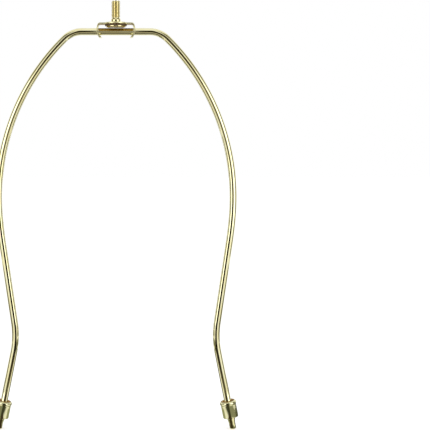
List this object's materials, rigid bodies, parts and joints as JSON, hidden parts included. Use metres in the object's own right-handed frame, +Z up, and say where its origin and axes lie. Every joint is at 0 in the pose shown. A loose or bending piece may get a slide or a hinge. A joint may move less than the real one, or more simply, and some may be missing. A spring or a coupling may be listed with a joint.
{
  "type": "lamp harp",
  "caption": "Bent wire lamp harp with a swivelling threaded shade stud on a tilting bracket and loose locking sleeves on its legs.",
  "frame": {"origin": "midway between the two leg tips, level with their lowest point", "axes": "+Z up along the shade stud, X across the bow, Y through the bow"},
  "size_m": [0.1772, 0.0164, 0.308],
  "materials": {
    "plated_wire": "polished",
    "plated_sheet": "polished",
    "turned_stud": "polished",
    "dark_washer": "dull",
    "turned_disc": "polished",
    "turned_sleeve": "polished"
  },
  "bodies": {
    "bow": {"bow": "plated_wire"},
    "bracket": {"swivel_bracket": "plated_sheet", "friction_washer": "dark_washer"},
    "stud": {"shade_stud": "turned_stud", "retaining_disc": "turned_disc"},
    "left_sleeve": {"left_sleeve": "turned_sleeve"},
    "right_sleeve": {"right_sleeve": "turned_sleeve"}
  },
  "joints": [
    {"name": "bracket_tilt", "type": "hinge", "parent": "bow", "child": "bracket", "pos_m": [0, 0, 0.28618], "axis": [1, 0, 0], "continuous": true},
    {"name": "stud_spin", "type": "hinge", "parent": "bracket", "child": "stud", "pos_m": [0, 0, 0.28618], "axis": [0, 0, 1], "continuous": true},
    {"name": "left_sleeve_slide", "type": "slide", "parent": "bow", "child": "left_sleeve", "axis": [0.1977, 0, 0.9803], "range_m": [0, 0.035]},
    {"name": "right_sleeve_slide", "type": "slide", "parent": "bow", "child": "right_sleeve", "axis": [-0.1977, 0, 0.9803], "range_m": [0, 0.035]}
  ]
}
